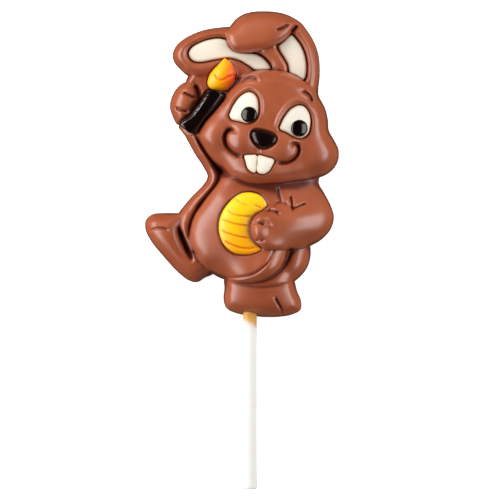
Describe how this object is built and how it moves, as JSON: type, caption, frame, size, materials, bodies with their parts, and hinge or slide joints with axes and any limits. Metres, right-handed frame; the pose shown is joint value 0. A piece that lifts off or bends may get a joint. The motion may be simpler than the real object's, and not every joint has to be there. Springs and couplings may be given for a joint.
{
  "type": "chocolate lollipop",
  "caption": "Flat-backed moulded milk chocolate lollipop in the shape of a rabbit with a paintbrush and an egg, inlaid in white, dark and yellow, on a round paper stick to hold it by.",
  "frame": {"origin": "point of the flat back on the stick's axis, half-way along the whole length", "axes": "+Y along the stick towards the ears, +Z out of the moulded side, away from the flat back, +X towards the hand on the egg"},
  "size_m": [0.0608, 0.1497, 0.0163],
  "materials": {
    "milk_chocolate": "satin moulded milk chocolate, smooth, with soft highlights",
    "white_chocolate": "satin cream white chocolate",
    "dark_chocolate": "glossy near black dark chocolate",
    "yellow_chocolate": "satin coloured white chocolate, yellow turning orange to the lower right, with orange stripes",
    "orange_chocolate": "satin coloured white chocolate, yellow to orange",
    "paper_stick": "matt white rolled paper, stained yellow by cocoa butter at the top"
  },
  "bodies": {
    "root": {"chocolate_body": "milk_chocolate", "ear_inner_left": "white_chocolate", "ear_inner_right": "white_chocolate", "eye_white_left": "white_chocolate", "eye_white_right": "white_chocolate", "tooth_left": "white_chocolate", "tooth_right": "white_chocolate", "pupil_left": "dark_chocolate", "pupil_right": "dark_chocolate", "nose": "dark_chocolate", "brush_handle": "dark_chocolate", "brush_tip": "orange_chocolate", "egg": "yellow_chocolate", "stick": "paper_stick"}
  },
  "joints": []
}
